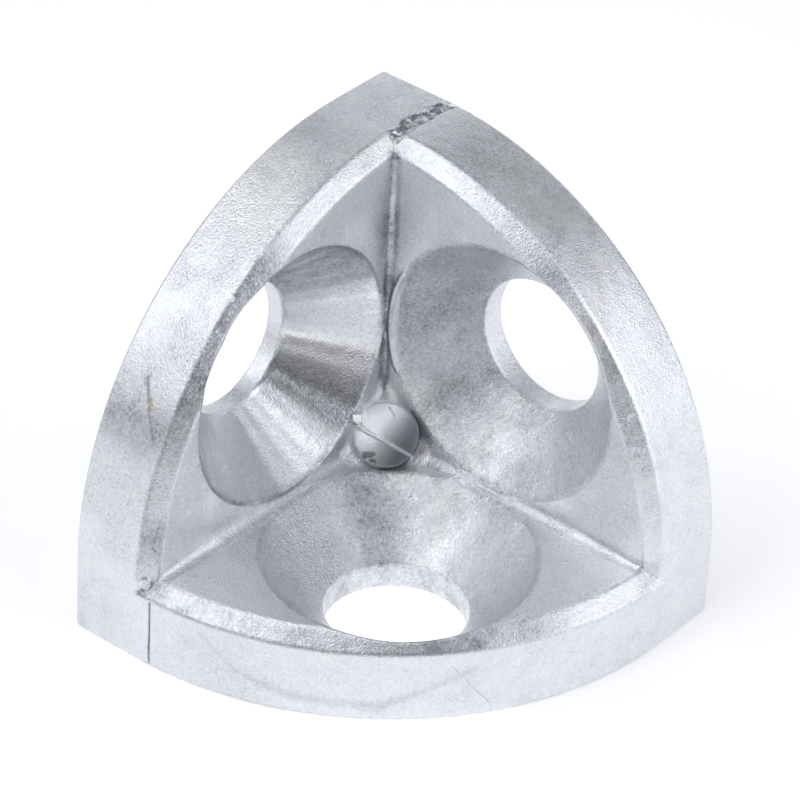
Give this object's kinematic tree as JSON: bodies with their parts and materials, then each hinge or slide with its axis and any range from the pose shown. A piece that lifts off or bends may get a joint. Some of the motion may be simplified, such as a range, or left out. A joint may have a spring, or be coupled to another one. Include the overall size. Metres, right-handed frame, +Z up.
{
  "type": "profile corner bracket",
  "caption": "Die-cast corner bracket: plates meeting at right angles, each with a rounded corner, a chamfered rim and a deep countersunk screw hole, joining profiles at a frame corner.",
  "frame": {"origin": "middle of the bounding box at the floor plate's mounting face", "axes": "+Z up from the floor plate's mounting face, +X away from the right plate's mounting face, +Y away from the left plate's mounting face (left and right as in the picture)"},
  "size_m": [0.028, 0.028, 0.028],
  "materials": {
    "cast_metal": "raw die-cast surface, satin, fine grain, light handling wear"
  },
  "bodies": {
    "root": {"corner_bracket": "cast_metal"}
  },
  "joints": []
}
